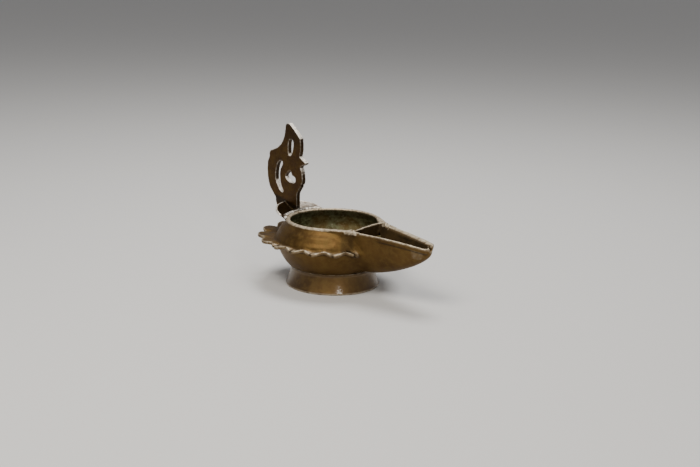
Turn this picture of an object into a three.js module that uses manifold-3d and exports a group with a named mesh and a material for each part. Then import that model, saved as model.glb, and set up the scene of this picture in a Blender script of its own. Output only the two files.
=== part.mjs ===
// A small cast bronze oil lamp: a round bowl on a hollow flared foot, with a scalloped flange round its
// belly, a long open spout shaped like a boat, and an openwork thumb-rest that stands on a ledge behind the rim.
// Millimetres. +X runs along the spout, +Z is up, and z = 0 is the surface that the foot stands on.
import * as THREE from "three";
import { mergeVertices } from "three/addons/utils/BufferGeometryUtils.js";
import Module from "manifold-3d";

const wasm = await Module();
wasm.setup();

// General
const wall = 3; // cast wall of the bowl and the spout
const jointGap = 0.3; // clearance where two castings meet
const turnSegments = 54;
const overcut = 4; // how far a cutting body runs past the faces that it opens

// Foot
const footHeight = 16;
const footBaseRadius = 40.8;
const footTopRadius = 36.3;
const footWall = 3.6;
const footWaist = 0.7; // how far the flared side bows in
const footLip = 1.2;

// Bowl
const seatRadius = 35.4;
const shoulderRadius = 50.5;
const shoulderHeight = 40;
const rimRadius = 41;
const rimHeight = 58;
const lipThickness = 3.4;
const lipHeight = 2.2;
const lipFlare = 0.5;
const lipRounding = 0.8;
const bellyOut = 0.55; // place of the belly curve's control point, as shares of its width and height
const bellyUp = 0.17;
const collarBulge = 0.4;
const collarLow = 0.42; // places of the collar curve's control points, as shares of its height and width
const collarHigh = 0.67;
const collarIn = 0.36;

// Scalloped flange
const flangeRadius = 55; // to the tips of the petals at the front
const flangeReach = 17; // how much further the petals reach under the thumb-rest
const flangeReachSharpness = 3;
const flangeHeight = 39.2;
const flangeRootThickness = 3.6;
const flangeEdgeThickness = 2.6;
const petals = 18;
const petalSegments = 6;
const petalNotch = 2.8;
const petalWave = 1.3;
const petalTurn = Math.PI / 22.5; // a petal's edge lies this far round from the spout
const fluteRise = 5.5; // how much the long petals arch up between their grooves, like fingers
const fluteNotch = 4; // how much deeper the cuts between the long petals are

// Spout
const spoutLength = 115.5; // from the bowl's axis to the tip
const spoutHalfWidth = 22;
const spoutEarX = 46;
const spoutRootX = 20; // the spout's walls leave the rim here
const spoutRootFlare = 0.53; // how fast each wall spreads from the knob back to the rim
const spoutTipHalfWidth = 5;
const spoutTipRounding = 5;
const spoutNearDrop = 4.5; // fall of the edge towards the tip on the side of -Y, the more worn one
const spoutFarDrop = 1.2;
const spoutTipDepth = 4.7;
const keelStart = 40;
const keelHeight = 19.2;
const keelPower = 1.5;
const flankPower = 2.4;
const spoutBandStart = 70;
const spoutBandHeight = 4;
const spoutBandProud = 0.7;
const bevelWidth = 2.6;
const bevelDepth = 1.8;
const bevelEdge = 1.5; // width of the flat left outside the bevel
const wickNotchWidth = 2.4;
const wickNotchDepth = 4;
const wickNotchLength = 9;
const earLength = 6.5;
const earWidth = 2.4;
const earHeight = 1.4;

// Bridge between the bowl and the spout
const bridgeX = 35.3;
const bridgeThickness = 2.2;
const bridgeDepth = 15;
const bridgeFall = 5.5; // how much lower the strap is at the side of -Y
const bridgeArch = 4;

// Thumb-rest: a tilted ledge like half a saucer, and the plate that stands on it
const ledgeX = -39.5;
const ledgeY = -2.2; // the ledge sits a little to one side
const ledgeRadius = 23;
const ledgeDish = 3.6;
const ledgeThickness = 3.2;
const ledgeEdge = 1.6;
const ledgeTilt = 0.21; // rise of the ledge for each millimetre away from the bowl
const ledgeRoll = 0.045; // rise of the ledge for each millimetre towards +Y
const ledgeDrop = 0.6;
const saddleThickness = 2.6;
const saddleHeight = 6;
const saddleProud = 0.7;
const plateX = -62;
const plateHeight = 76;
const plateThickness = 4.2;
const plateBevel = 0.6;

const bronze = new THREE.Color(0x6b5230);

/** A closed solid from a closed three.js geometry. */
function solid(geometry) {
  const bare = geometry.index ? geometry.toNonIndexed() : geometry.clone();
  bare.deleteAttribute("normal");
  bare.deleteAttribute("uv");
  const merged = mergeVertices(bare, 1e-4);
  const corners = Array.from(merged.index.array);
  const triangles = [];
  for (let i = 0; i < corners.length; i += 3) {
    const [a, b, c] = corners.slice(i, i + 3);
    if (a !== b && b !== c && c !== a) triangles.push(a, b, c);
  }
  const vertProperties = new Float32Array(merged.attributes.position.array);
  return new wasm.Manifold(new wasm.Mesh({ numProp: 3, vertProperties, triVerts: new Uint32Array(triangles) }));
}

/** A named mesh of a finished solid. */
function meshOf(name, finished, roughness) {
  const { vertProperties, triVerts } = finished.getMesh();
  const geometry = new THREE.BufferGeometry();
  geometry.setAttribute("position", new THREE.BufferAttribute(new Float32Array(vertProperties), 3));
  geometry.setIndex(new THREE.BufferAttribute(new Uint32Array(triVerts), 1));
  geometry.computeVertexNormals();
  const material = new THREE.MeshStandardMaterial({ color: bronze, roughness, metalness: 1 });
  const mesh = new THREE.Mesh(geometry, material);
  mesh.name = name;
  return mesh;
}

/** A body turned round the Z axis from an outline of [radius, height] pairs. */
function turned(outline, segments = turnSegments) {
  const points = outline.map(([radius, height]) => new THREE.Vector2(radius, height));
  return new THREE.LatheGeometry(points, segments).rotateX(Math.PI / 2);
}

/** Moves every vertex of a geometry to place(x, y, z). */
function reshape(geometry, place) {
  const position = geometry.getAttribute("position");
  for (let i = 0; i < position.count; i += 1) {
    position.setXYZ(i, ...place(position.getX(i), position.getY(i), position.getZ(i)));
  }
  return geometry;
}

/** A closed body along X: section(turn, along) gives the point at a share of the way round and along. */
function loft(sides, stations, section) {
  const tube = new THREE.CylinderGeometry(1, 1, 1, sides, stations);
  return reshape(tube, (x, y, z) => {
    const along = 0.5 + y;
    const turn = (Math.atan2(z, x) / (2 * Math.PI) + 1) % 1;
    const edge = section(Math.round(turn * sides) / sides, along);
    if (Math.hypot(x, z) > 0.5) return edge;
    const opposite = section((Math.round(turn * sides) / sides + 0.5) % 1, along);
    return edge.map((value, axis) => (value + opposite[axis]) / 2);
  });
}

const clamp = (value, low, high) => Math.min(Math.max(value, low), high);
const mix = (a, b, share) => a + (b - a) * share;

/** Points along a curve as [radius, height] pairs, moved inwards by an offset. */
function along(curve, steps, offset = 0) {
  return Array.from({ length: steps + 1 }, (_, i) => {
    const point = curve.getPoint(i / steps);
    const direction = curve.getTangent(i / steps);
    return [point.x - direction.y * offset, point.y + direction.x * offset];
  });
}

const seatHeight = footHeight + jointGap;
const neckRadius = rimRadius + lipFlare;
const neckHeight = rimHeight - lipHeight;

const bellyCurve = new THREE.QuadraticBezierCurve(
  new THREE.Vector2(seatRadius, seatHeight),
  new THREE.Vector2(mix(seatRadius, shoulderRadius, bellyOut), mix(seatHeight, shoulderHeight, bellyUp)),
  new THREE.Vector2(shoulderRadius, shoulderHeight),
);
const collarCurve = new THREE.CubicBezierCurve(
  new THREE.Vector2(shoulderRadius, shoulderHeight),
  new THREE.Vector2(shoulderRadius + collarBulge, mix(shoulderHeight, neckHeight, collarLow)),
  new THREE.Vector2(mix(neckRadius, shoulderRadius, collarIn), mix(shoulderHeight, neckHeight, collarHigh)),
  new THREE.Vector2(neckRadius, neckHeight),
);

/** The bowl filled up to its rim; grown outwards and extended upwards, it cuts the clearance of what leans on it. */
function filledBowl(growth = 0, top = rimHeight) {
  const side = [...along(bellyCurve, 5, -growth), ...along(collarCurve, 7, -growth).slice(1)];
  return turned([
    [0, seatHeight - growth],
    ...side,
    [rimRadius + growth, neckHeight + lipRounding],
    [rimRadius + growth, top - (top > rimHeight ? 0 : lipRounding)],
    [rimRadius + growth - (top > rimHeight ? 0 : lipRounding), top],
    [0, top],
  ]);
}

/** The hollow of the bowl, open at the top. */
function bowlHollow() {
  const floor = seatHeight + wall;
  const inner = rimRadius - lipThickness;
  const side = [...along(bellyCurve, 4, wall), ...along(collarCurve, 5, wall).slice(1)];
  const below = side.filter(([radius, height]) => height > floor + 1 && height < neckHeight - 1 && radius > inner);
  return turned([
    [0, floor],
    [seatRadius - wall, floor],
    ...below,
    [inner, neckHeight],
    [inner, rimHeight - lipRounding],
    [inner + lipRounding, rimHeight],
    [inner + lipRounding, rimHeight + overcut],
    [0, rimHeight + overcut],
  ]);
}

/** The flange: a ring cut in round petals, which droop at the front and arch like fingers at the back. */
function ruffledFlange() {
  const rootRadius = shoulderRadius - wall / 2;
  const half = (share) => mix(flangeRootThickness, flangeEdgeThickness, share) / 2;
  const shares = [0, 0.5, 1];
  const under = shares.map((share) => [1 + share, -half(share)]);
  const over = shares.map((share) => [1 + share, half(share)]).reverse();
  const ring = turned([...under, ...over, under[0]], petals * petalSegments);
  return reshape(ring, (x, y, z) => {
    const angle = Math.atan2(y, x) + petalTurn;
    const share = Math.hypot(x, y) - 1;
    const inPetal = Math.abs(Math.sin((petals * (angle - petalTurn)) / 2)); // 0 at a cusp, 1 mid-petal
    const behind = ((1 - Math.cos(angle)) / 2) ** flangeReachSharpness;
    const tip = flangeRadius + flangeReach * behind - (petalNotch + fluteNotch * behind) * (1 - inPetal);
    const radius = mix(rootRadius, tip, share);
    const wave = petalWave * (1 - 2 * inPetal * inPetal) + fluteRise * behind * (inPetal - 0.5);
    return [radius * Math.cos(angle), radius * Math.sin(angle), flangeHeight + z + wave * share];
  });
}

/** Half the outer width of the spout at x: it narrows from the rim to the tip. */
function spoutWidth(x) {
  const straight = mix(spoutHalfWidth, spoutTipHalfWidth, clamp((x - spoutEarX) / (spoutLength - spoutEarX), 0, 1));
  const past = clamp((x - spoutLength + spoutTipRounding) / spoutTipRounding, 0, 0.97);
  return straight * Math.sqrt(1 - past * past) + spoutRootFlare * Math.max(spoutEarX - x, 0);
}

/** Height of the spout's top edge at x: it falls in a curve to the tip, more at side -1 than at side 1. */
function spoutTop(x, side = 0) {
  const share = clamp((x - spoutEarX) / (spoutLength - spoutEarX), 0, 1);
  return rimHeight - mix(spoutNearDrop, spoutFarDrop, (side + 1) / 2) * share * share;
}

/** Height of the keel at x: it sweeps up to the tip. */
function keel(x) {
  const share = clamp((x - keelStart) / (spoutLength - keelStart), 0, 1);
  const depth = spoutTop(x) - spoutTipDepth - keelHeight;
  return spoutTop(x) - spoutTipDepth - depth * (1 - share ** keelPower) ** (1 / keelPower);
}

/** A boat-shaped body between two stations of the spout, drawn in by a wall and closed at a height above its edge. */
function boat(startX, endX, inset, above, sides, stations) {
  return loft(sides, stations, (turn, share) => {
    const x = mix(startX, endX, 1 - (1 - share) ** keelPower);
    const side = Math.cos(2 * Math.PI * turn);
    const halfWidth = Math.max(spoutWidth(x + inset) - inset, wall / 6);
    const top = spoutTop(x, side) + above;
    const bottom = keel(x) + inset;
    const height = turn < 0.5 ? mix(bottom, top, Math.abs(side) ** flankPower) : top;
    return [x, halfWidth * side, height];
  });
}

/** A bar of four corners that follows the spout's edge; corners gives [half width, depth below it] at x. */
function edgeBar(startX, endX, stations, corners) {
  return loft(4, stations, (turn, share) => {
    const x = mix(startX, endX, share);
    const corner = Math.round(turn * 4) % 4;
    const [halfWidth, depth] = corners(x)[corner < 2 ? 0 : 1];
    const side = corner === 0 || corner === 3 ? 1 : -1;
    return [x, side * halfWidth, spoutTop(x, side) - depth];
  });
}

/** The raised band that runs along the spout's edge out to the tip. */
function spoutBand() {
  return edgeBar(spoutBandStart, spoutLength - wall / 2, 10, (x) => {
    const proud = spoutBandProud * clamp((x - spoutBandStart) / wall, 0, 1);
    return [
      [spoutWidth(x) - wall / 3 + proud, spoutBandHeight],
      [spoutWidth(x) + proud, 0],
    ];
  });
}

/** The sloping inner edge of the spout's mouth. */
function spoutBevel() {
  const endX = spoutLength - spoutTipRounding / 2;
  return edgeBar(spoutEarX, endX, 10, (x) => {
    const flat = spoutWidth(x) - bevelEdge;
    const rise = overcut / bevelDepth;
    return [
      [Math.max(flat - bevelWidth, wall / 4), bevelDepth],
      [Math.max(flat + bevelWidth * rise, wall / 2), -overcut],
    ];
  });
}

function wickNotch() {
  const box = new THREE.BoxGeometry(wickNotchLength + overcut, wickNotchWidth, wickNotchDepth + overcut);
  const x = spoutLength - wickNotchLength + (wickNotchLength + overcut) / 2;
  return box.translate(x, 0, spoutTop(spoutLength) + (overcut - wickNotchDepth) / 2);
}

/** The worn knob on top of the wall where the spout leaves the rim. */
function ear(side) {
  const knob = new THREE.SphereGeometry(1, 10, 6).scale(earLength, earWidth, earHeight * 2);
  const x = spoutEarX - earLength / 4;
  return knob.translate(x, side * (spoutHalfWidth - earWidth), rimHeight - earHeight);
}

/** The strap across the mouth of the spout, from wall to wall, with a way for the oil below it. */
function bridge() {
  const half = spoutWidth(bridgeX) - wall;
  const low = rimHeight - bridgeDepth;
  const top = rimHeight - lipRounding / 2;
  const face = new THREE.Shape();
  face.moveTo(-shoulderRadius, low);
  face.quadraticCurveTo(0, low + 2 * bridgeArch, shoulderRadius, low);
  face.lineTo(shoulderRadius, top);
  face.lineTo(half, top);
  face.quadraticCurveTo(0, top, -half, top - bridgeFall);
  face.lineTo(-shoulderRadius, top - bridgeFall);
  const strap = new THREE.ExtrudeGeometry(face, { depth: bridgeThickness, bevelEnabled: false, curveSegments: 10 });
  strap.rotateX(Math.PI / 2).rotateZ(Math.PI / 2);
  return strap.translate(bridgeX - bridgeThickness / 2, 0, 0);
}

/** The bowl with its flange, spout and bridge: one casting. */
function bowlCasting() {
  const hollowEnd = spoutLength - wall - spoutTipRounding / 2;
  const filled = solid(filledBowl()).add(solid(boat(spoutRootX, spoutLength, 0, 0, 24, 17)));
  return filled
    .add(solid(ruffledFlange()))
    .add(solid(spoutBand()))
    .add(solid(ear(1)))
    .add(solid(ear(-1)))
    .subtract(solid(bowlHollow()))
    .subtract(solid(boat(spoutRootX, hollowEnd, wall, overcut, 20, 13)))
    .subtract(solid(spoutBevel()))
    .subtract(solid(wickNotch()))
    .add(solid(bridge()).intersect(filled));
}

/** The foot: a hollow flared ring, open above and below. */
function footCasting() {
  const side = new THREE.QuadraticBezierCurve(
    new THREE.Vector2(footBaseRadius, footLip),
    new THREE.Vector2((footBaseRadius + footTopRadius) / 2 - footWaist, footHeight / 2),
    new THREE.Vector2(footTopRadius, footHeight),
  );
  const outline = [
    [footBaseRadius - footWall, 0],
    [footBaseRadius - footLip / 2, 0],
    ...along(side, 4),
    [footTopRadius - footWall, footHeight],
    [footBaseRadius - footWall, 0],
  ];
  return solid(turned(outline));
}

/** The ledge behind the rim, dished like a saucer and tilted up away from the bowl. */
function ledge() {
  const inner = ledgeRadius - ledgeEdge;
  const saucer = turned([
    [0, -ledgeDish - ledgeThickness],
    [inner * 0.45, -ledgeDish - ledgeThickness],
    [inner * 0.8, -ledgeDish / 2 - ledgeThickness * 0.8],
    [ledgeRadius, -ledgeEdge / 2],
    [ledgeRadius - ledgeEdge / 3, ledgeEdge / 2],
    [inner, ledgeEdge / 3],
    [inner * 0.75, -ledgeDish * 0.65],
    [inner * 0.35, -ledgeDish],
    [0, -ledgeDish],
  ], 44);
  return reshape(saucer, (x, y, z) => {
    const slope = ledgeRoll * y - ledgeTilt * x;
    return [ledgeX + x, ledgeY + y, rimHeight - ledgeDrop + z + slope];
  });
}

/** The thick seam of the thumb-rest that hugs the rim from outside, over the ledge's own width. */
function saddle() {
  const inner = rimRadius - lipThickness;
  const outer = neckRadius + jointGap + saddleThickness;
  const top = rimHeight + saddleProud;
  const ring = turned([
    [inner, rimHeight - saddleHeight],
    [outer + saddleThickness, rimHeight - saddleHeight],
    [outer, top - saddleProud],
    [outer - saddleProud, top],
    [inner, top],
    [inner, rimHeight - saddleHeight],
  ]);
  const reach = new THREE.CylinderGeometry(ledgeRadius - ledgeEdge, ledgeRadius - ledgeEdge, rimHeight, 44);
  reach.rotateX(Math.PI / 2).translate(ledgeX, ledgeY, rimHeight);
  return solid(ring).intersect(solid(reach));
}

/** A point of the plate, from shares of its height measured from the middle of its foot. */
const onPlate = ([across, up]) => new THREE.Vector2(across * plateHeight, up * plateHeight);

/** An opening of the plate: a closed smooth curve through a few points. */
function opening(points) {
  const curve = new THREE.SplineCurve([...points, points[0]].map(onPlate));
  return new THREE.Path(curve.getPoints(points.length * 2).slice(0, -1));
}

/** The openwork plate: a pointed leaf with a barb on each side, a lobed body and three openings. */
function plateOutline() {
  const shape = new THREE.Shape();
  const start = onPlate([-0.005, -0.06]);
  shape.moveTo(start.x, start.y);
  shape.lineTo(...onPlate([0.215, -0.06]));
  shape.lineTo(...onPlate([0.213, 0]));
  shape.splineThru([[0.211, 0.09], [0.214, 0.18], [0.249, 0.24]].map(onPlate));
  shape.splineThru([[0.298, 0.32], [0.302, 0.39], [0.287, 0.464], [0.263, 0.514]].map(onPlate));
  shape.lineTo(...onPlate([0.352, 0.553]));
  shape.lineTo(...onPlate([0.356, 0.573]));
  shape.lineTo(...onPlate([0.247, 0.632]));
  shape.splineThru([[0.262, 0.68], [0.266, 0.76], [0.258, 0.843]].map(onPlate));
  shape.splineThru([[0.18, 0.915], [0.099, 0.975], [0.064, 0.997], [0.02, 0.992]].map(onPlate));
  shape.splineThru([[0, 0.965], [-0.008, 0.9], [-0.026, 0.825], [-0.075, 0.745], [-0.15, 0.684]].map(onPlate));
  shape.lineTo(...onPlate([-0.268, 0.636]));
  shape.splineThru([[-0.29, 0.6], [-0.286, 0.565], [-0.317, 0.49], [-0.322, 0.392]].map(onPlate));
  shape.splineThru([[-0.311, 0.297], [-0.279, 0.204], [-0.224, 0.14], [-0.172, 0.085]].map(onPlate));
  shape.splineThru([[-0.155, 0.01], [-0.1, -0.035], [-0.005, -0.06]].map(onPlate));
  const slot = [[0.062, 0.79], [0.1, 0.812], [0.135, 0.795], [0.137, 0.73], [0.11, 0.645], [0.068, 0.622], [0.052, 0.69]];
  const crescent = [[-0.06, 0.535], [-0.12, 0.515], [-0.16, 0.42], [-0.167, 0.32], [-0.137, 0.25], [-0.085, 0.183],
    [-0.035, 0.168], [-0.045, 0.2], [-0.08, 0.265], [-0.093, 0.345], [-0.088, 0.43], [-0.05, 0.5]];
  const eye = [[0.089, 0.44], [0.03, 0.4], [0.012, 0.36], [0.073, 0.311], [0.168, 0.315], [0.172, 0.37], [0.12, 0.39]];
  shape.holes.push(opening(slot), opening(crescent), opening(eye));
  return shape;
}

function plate() {
  const settings = {
    depth: plateThickness - 2 * plateBevel,
    bevelEnabled: true,
    bevelThickness: plateBevel,
    bevelSize: plateBevel,
    bevelOffset: -plateBevel,
    bevelSegments: 1,
    curveSegments: 2,
  };
  const slab = new THREE.ExtrudeGeometry(plateOutline(), settings);
  slab.rotateX(Math.PI / 2);
  return slab.translate(plateX, plateThickness / 2 - plateBevel, rimHeight);
}

/** The thumb-rest: ledge, seam and plate in one casting, cut clear of the bowl that it is joined to. */
function thumbRestCasting() {
  return solid(ledge())
    .add(saddle())
    .add(solid(plate()))
    .subtract(solid(filledBowl(jointGap, rimHeight + ledgeRadius)));
}

const lamp = new THREE.Group();
lamp.add(meshOf("foot", footCasting(), 0.45));
lamp.add(meshOf("bowl", bowlCasting(), 0.42));
lamp.add(meshOf("thumb_rest", thumbRestCasting(), 0.5));

// The origin lies on the surface below the middle of the lamp's whole length.
const bounds = new THREE.Box3().setFromObject(lamp);
lamp.position.x = -(bounds.min.x + bounds.max.x) / 2;

const part = new THREE.Group();
part.add(lamp);

export default part;
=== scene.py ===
"""A small cast bronze oil lamp with a round bowl, a scalloped flange, a long open spout shaped like a boat
and an openwork thumb-rest behind the rim. Metres. +X runs along the spout and z = 0 is the floor."""
import math

import bmesh
import bpy
import numpy as np
from mathutils import Matrix, Vector, noise


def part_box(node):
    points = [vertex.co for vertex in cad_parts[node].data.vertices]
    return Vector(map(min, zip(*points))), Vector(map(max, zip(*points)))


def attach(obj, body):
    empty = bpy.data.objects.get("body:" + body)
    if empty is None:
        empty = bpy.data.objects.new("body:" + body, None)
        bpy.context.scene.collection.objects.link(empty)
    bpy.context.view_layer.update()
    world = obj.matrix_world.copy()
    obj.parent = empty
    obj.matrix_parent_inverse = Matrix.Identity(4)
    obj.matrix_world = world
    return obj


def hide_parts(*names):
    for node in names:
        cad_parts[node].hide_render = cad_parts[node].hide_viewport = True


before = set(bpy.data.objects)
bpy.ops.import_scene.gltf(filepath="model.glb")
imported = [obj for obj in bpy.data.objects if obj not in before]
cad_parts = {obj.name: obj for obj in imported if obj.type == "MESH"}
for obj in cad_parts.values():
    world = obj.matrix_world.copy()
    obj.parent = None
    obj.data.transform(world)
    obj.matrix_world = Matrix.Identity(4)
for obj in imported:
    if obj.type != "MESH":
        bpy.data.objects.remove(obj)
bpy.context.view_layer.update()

MM = 0.001

# Bowl, as in the CAD model
WALL = 3 * MM
JOINT_GAP = 0.3 * MM
OVERCUT = 4 * MM
FOOT_HEIGHT = 16 * MM
SEAT_RADIUS = 35.4 * MM
SHOULDER_RADIUS = 50.5 * MM
SHOULDER_HEIGHT = 40 * MM
RIM_RADIUS = 41 * MM
RIM_HEIGHT = 58 * MM
LIP_THICKNESS = 3.4 * MM
LIP_HEIGHT = 2.2 * MM
LIP_FLARE = 0.5 * MM
LIP_ROUNDING = 0.8 * MM
BELLY_OUT = 0.55
BELLY_UP = 0.17
COLLAR_BULGE = 0.4 * MM
COLLAR_LOW = 0.42
COLLAR_HIGH = 0.67
COLLAR_IN = 0.36
SEAT_HEIGHT = FOOT_HEIGHT + JOINT_GAP
NECK_RADIUS = RIM_RADIUS + LIP_FLARE
NECK_HEIGHT = RIM_HEIGHT - LIP_HEIGHT

# Foot
FOOT_BASE_RADIUS = 40.8 * MM
FOOT_TOP_RADIUS = 36.3 * MM
FOOT_WALL = 3.6 * MM
FOOT_WAIST = 0.7 * MM
FOOT_LIP = 1.2 * MM

# Scalloped flange
FLANGE_RADIUS = 55 * MM
FLANGE_REACH = 17 * MM
FLANGE_REACH_SHARPNESS = 3
FLANGE_HEIGHT = 39.2 * MM
FLANGE_ROOT_THICKNESS = 3.6 * MM
FLANGE_EDGE_THICKNESS = 2.6 * MM
PETALS = 18
PETAL_NOTCH = 2.8 * MM
PETAL_WAVE = 1.3 * MM
PETAL_TURN = math.pi / 22.5
FLUTE_RISE = 5.5 * MM
FLUTE_NOTCH = 4 * MM

# Spout
SPOUT_LENGTH = 115.5 * MM
SPOUT_HALF_WIDTH = 22 * MM
SPOUT_EAR_X = 46 * MM
SPOUT_ROOT_X = 20 * MM
SPOUT_ROOT_FLARE = 0.53
SPOUT_TIP_HALF_WIDTH = 5 * MM
SPOUT_TIP_ROUNDING = 5 * MM
SPOUT_NEAR_DROP = 4.5 * MM
SPOUT_FAR_DROP = 1.2 * MM
SPOUT_TIP_DEPTH = 4.7 * MM
KEEL_START = 40 * MM
KEEL_HEIGHT = 19.2 * MM
KEEL_POWER = 1.5
FLANK_POWER = 2.4
BAND_START = 70 * MM
BAND_HEIGHT = 4 * MM
BAND_PROUD = 0.7 * MM
BEVEL_WIDTH = 2.6 * MM
BEVEL_DEPTH = 1.8 * MM
BEVEL_EDGE = 1.5 * MM
WICK_NOTCH_WIDTH = 2.4 * MM
WICK_NOTCH_DEPTH = 4 * MM
WICK_NOTCH_LENGTH = 9 * MM
EAR_LENGTH = 6.5 * MM
EAR_WIDTH = 2.4 * MM
EAR_HEIGHT = 1.4 * MM

# Bridge between the bowl and the spout
BRIDGE_X = 35.3 * MM
BRIDGE_THICKNESS = 2.2 * MM
BRIDGE_DEPTH = 15 * MM
BRIDGE_FALL = 5.5 * MM
BRIDGE_ARCH = 4 * MM

# Thumb-rest
LEDGE_X = -39.5 * MM
LEDGE_Y = -2.2 * MM
LEDGE_RADIUS = 23 * MM
LEDGE_DISH = 3.6 * MM
LEDGE_THICKNESS = 3.2 * MM
LEDGE_EDGE = 1.6 * MM
LEDGE_TILT = 0.21
LEDGE_ROLL = 0.045
LEDGE_DROP = 0.6 * MM
SADDLE_THICKNESS = 2.6 * MM
SADDLE_HEIGHT = 6 * MM
SADDLE_PROUD = 0.7 * MM
PLATE_X = -62 * MM
PLATE_HEIGHT = 76 * MM
PLATE_THICKNESS = 4.2 * MM

# Soft forms of the bowl's outside
RIDGE_HEIGHT = 50.6 * MM
RIDGE_PROUD = 0.3 * MM
RIDGE_WIDTH = 1.5 * MM
GROOVE_HEIGHT = 46.2 * MM
GROOVE_DEPTH = 0.5 * MM
GROOVE_WIDTH = 2.4 * MM
PETAL_CUT_WIDTH = 1.3 * MM
PETAL_CUT_FRONT = 0.25 * MM
PETAL_CUT_BACK = 0.9 * MM
JOIN_REACH_BELOW = 9 * MM
JOIN_REACH_ABOVE = 4.5 * MM
JOIN_ROUNDS = 130

# Soft step where the foot meets the bowl
FOOT_STEP_OUT = 1.1 * MM
FOOT_STEP_UP = 1.5 * MM

# Seam of the thumb-rest, and the facets beside the knobs, which get painted shade
SEAM_HALF_LENGTH = 19 * MM
FACET_START = 9 * MM
FACET_END = 17 * MM

# Unevenness of the casting
WAVE_SIZE = 16 * MM
GRAIN_SIZE = 2.6 * MM
LUMP_SIZE = 1.7 * MM
BOWL_UNEVENNESS = 0.06 * MM
FOOT_UNEVENNESS = 0.05 * MM
THUMB_REST_UNEVENNESS = 0.08 * MM

# Fineness of the meshes
TURN_SEGMENTS = 240
BOWL_VOXEL = 0.84 * MM
FOOT_VOXEL = 0.6 * MM
THUMB_REST_VOXEL = 0.6 * MM

# The bowl's axis stands at the middle of its foot
foot_low, foot_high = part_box("foot")
AXIS_X = (foot_low[0] + foot_high[0]) / 2

# Camera, at the photograph's viewing angle
CAMERA_AZIMUTH = math.radians(45.817)
CAMERA_ELEVATION = math.radians(14.148)
CAMERA_ROLL = math.radians(1.181)
CAMERA_DISTANCE = 1.131
CAMERA_LENS = 66.857
CAMERA_AIM = Vector((AXIS_X + 0.01006, 0.01035, 0.04474))


def mix(a, b, share):
    return a + (b - a) * share


def smooth_step(low, high, values):
    """0 below low, 1 above high and a soft turn between them."""
    share = np.clip((values - low) / (high - low), 0, 1)
    return share * share * (3 - 2 * share)


def bezier(corners, steps):
    """Points along a Bezier curve of any degree."""
    share = np.linspace(0, 1, steps + 1)[:, None]
    rows = [np.array(corner, dtype=float)[None, :] * np.ones_like(share) for corner in corners]
    while len(rows) > 1:
        rows = [mix(a, b, share) for a, b in zip(rows, rows[1:])]
    return rows[0]


def offset(curve, distance):
    """The points of a curve moved to its left by a distance."""
    direction = np.gradient(curve, axis=0)
    direction /= np.linalg.norm(direction, axis=1)[:, None]
    return curve + distance * np.stack([-direction[:, 1], direction[:, 0]], axis=1)


def new_object(name, points, faces):
    """A linked object with a closed mesh whose faces point outwards."""
    mesh = bpy.data.meshes.new(name)
    mesh.from_pydata(np.asarray(points).tolist(), [], faces)
    work = bmesh.new()
    work.from_mesh(mesh)
    bmesh.ops.remove_doubles(work, verts=work.verts, dist=1e-7)
    bmesh.ops.dissolve_degenerate(work, edges=work.edges, dist=1e-7)
    bmesh.ops.recalc_face_normals(work, faces=work.faces)
    work.to_mesh(mesh)
    work.free()
    made = bpy.data.objects.new(name, mesh)
    bpy.context.scene.collection.objects.link(made)
    return made


def grid_faces(rows, columns, close_rows):
    """Quads between neighbouring rows of a grid whose columns close on themselves."""
    faces = []
    for row in range(rows if close_rows else rows - 1):
        below = (row + 1) % rows
        for column in range(columns):
            beside = (column + 1) % columns
            faces.append((row * columns + column, row * columns + beside,
                          below * columns + beside, below * columns + column))
    return faces


def turned(name, outline, segments=TURN_SEGMENTS):
    """A body turned round the Z axis from [radius, height] pairs, which close or run from axis to axis."""
    outline = np.array(outline)
    angle = np.arange(segments) * 2 * math.pi / segments
    radius, height = outline[:, :1], outline[:, 1:]
    points = np.stack([radius * np.cos(angle), radius * np.sin(angle), height + 0 * angle], axis=2)
    ring = outline[0, 0] > 0
    return new_object(name, points.reshape(-1, 3), grid_faces(len(outline), segments, ring))


def tube(name, sections):
    """A closed body through a grid of sections, with flat ends."""
    stations, sides = sections.shape[:2]
    faces = grid_faces(stations, sides, False)
    faces.append(tuple(range(sides)))
    faces.append(tuple(range((stations - 1) * sides, stations * sides)))
    return new_object(name, sections.reshape(-1, 3), faces)


def bake(obj):
    """Replaces an object's mesh by what its modifiers make of it."""
    graph = bpy.context.evaluated_depsgraph_get()
    mesh = bpy.data.meshes.new_from_object(obj.evaluated_get(graph))
    obj.modifiers.clear()
    old = obj.data
    obj.data = mesh
    bpy.data.meshes.remove(old)


def combine(target, operation, *others):
    """Joins other bodies to the target, or cuts them from it."""
    for other in others:
        modifier = target.modifiers.new(operation, "BOOLEAN")
        modifier.operation = operation
        modifier.solver = "MANIFOLD"
        modifier.object = other
        bake(target)
        bpy.data.objects.remove(other)
    return target


def remesh(obj, voxel):
    """An even mesh of small faces over the whole surface."""
    modifier = obj.modifiers.new("remesh", "REMESH")
    modifier.mode = "VOXEL"
    modifier.voxel_size = voxel
    bake(obj)


def bowl_side(growth, belly_steps=48, collar_steps=48):
    """The outline of the bowl's outside from its seat to its neck, grown outwards."""
    belly = bezier([
        (SEAT_RADIUS, SEAT_HEIGHT),
        (mix(SEAT_RADIUS, SHOULDER_RADIUS, BELLY_OUT), mix(SEAT_HEIGHT, SHOULDER_HEIGHT, BELLY_UP)),
        (SHOULDER_RADIUS, SHOULDER_HEIGHT),
    ], belly_steps)
    collar = bezier([
        (SHOULDER_RADIUS, SHOULDER_HEIGHT),
        (SHOULDER_RADIUS + COLLAR_BULGE, mix(SHOULDER_HEIGHT, NECK_HEIGHT, COLLAR_LOW)),
        (mix(NECK_RADIUS, SHOULDER_RADIUS, COLLAR_IN), mix(SHOULDER_HEIGHT, NECK_HEIGHT, COLLAR_HIGH)),
        (NECK_RADIUS, NECK_HEIGHT),
    ], collar_steps)
    return np.concatenate([offset(belly, -growth), offset(collar, -growth)[1:]])


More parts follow.
